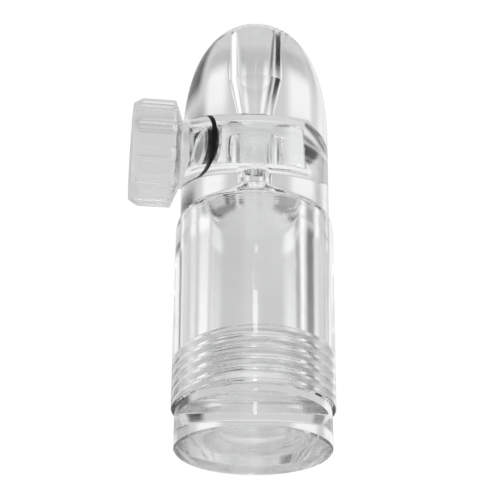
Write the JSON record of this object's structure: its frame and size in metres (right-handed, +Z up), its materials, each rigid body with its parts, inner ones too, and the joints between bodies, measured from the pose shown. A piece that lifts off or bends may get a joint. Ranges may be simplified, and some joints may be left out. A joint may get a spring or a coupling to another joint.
{
  "type": "pocket powder doser",
  "caption": "Clear bullet-shaped powder doser: a turning tap carries a measured dose from the barrel to the nose channel, and a screw base closes the barrel.",
  "frame": {"origin": "centre of the flat underside of the screw base, on the barrel's axis", "axes": "+Z up the long axis towards the nose; the tap's axis is parallel to X, with its knob on the -X side"},
  "size_m": [0.0236, 0.018, 0.0531],
  "materials": {
    "clear_acrylic": "clear, polished",
    "seal_rubber": "black, slightly greased"
  },
  "bodies": {
    "body": {"body": "clear_acrylic"},
    "seal": {"tap_o_ring": "seal_rubber"},
    "tap": {"tap": "clear_acrylic"},
    "cap": {"base_cap": "clear_acrylic"},
    "cap_thread": {"base_cap_thread": "clear_acrylic"}
  },
  "joints": [
    {"name": "tap_pull", "type": "slide", "parent": "body", "child": "seal", "axis": [-1, 0, 0], "range_m": [0, 0.0125]},
    {"name": "tap_turn", "type": "hinge", "parent": "seal", "child": "tap", "pos_m": [0, 0, 0.03585], "axis": [-1, 0, 0], "continuous": true},
    {"name": "cap_travel", "type": "slide", "parent": "body", "child": "cap", "axis": [0, 0, -1], "range_m": [0, 0.0075]},
    {"name": "cap_turn", "type": "hinge", "parent": "cap", "child": "cap_thread", "pos_m": [0, 0, 0], "axis": [0, 0, -1], "range_deg": [0, 2161]}
  ],
  "couplings": [
    {"joint": "cap_turn", "follows": "cap_travel", "rad_per_m": 5026.5}
  ]
}
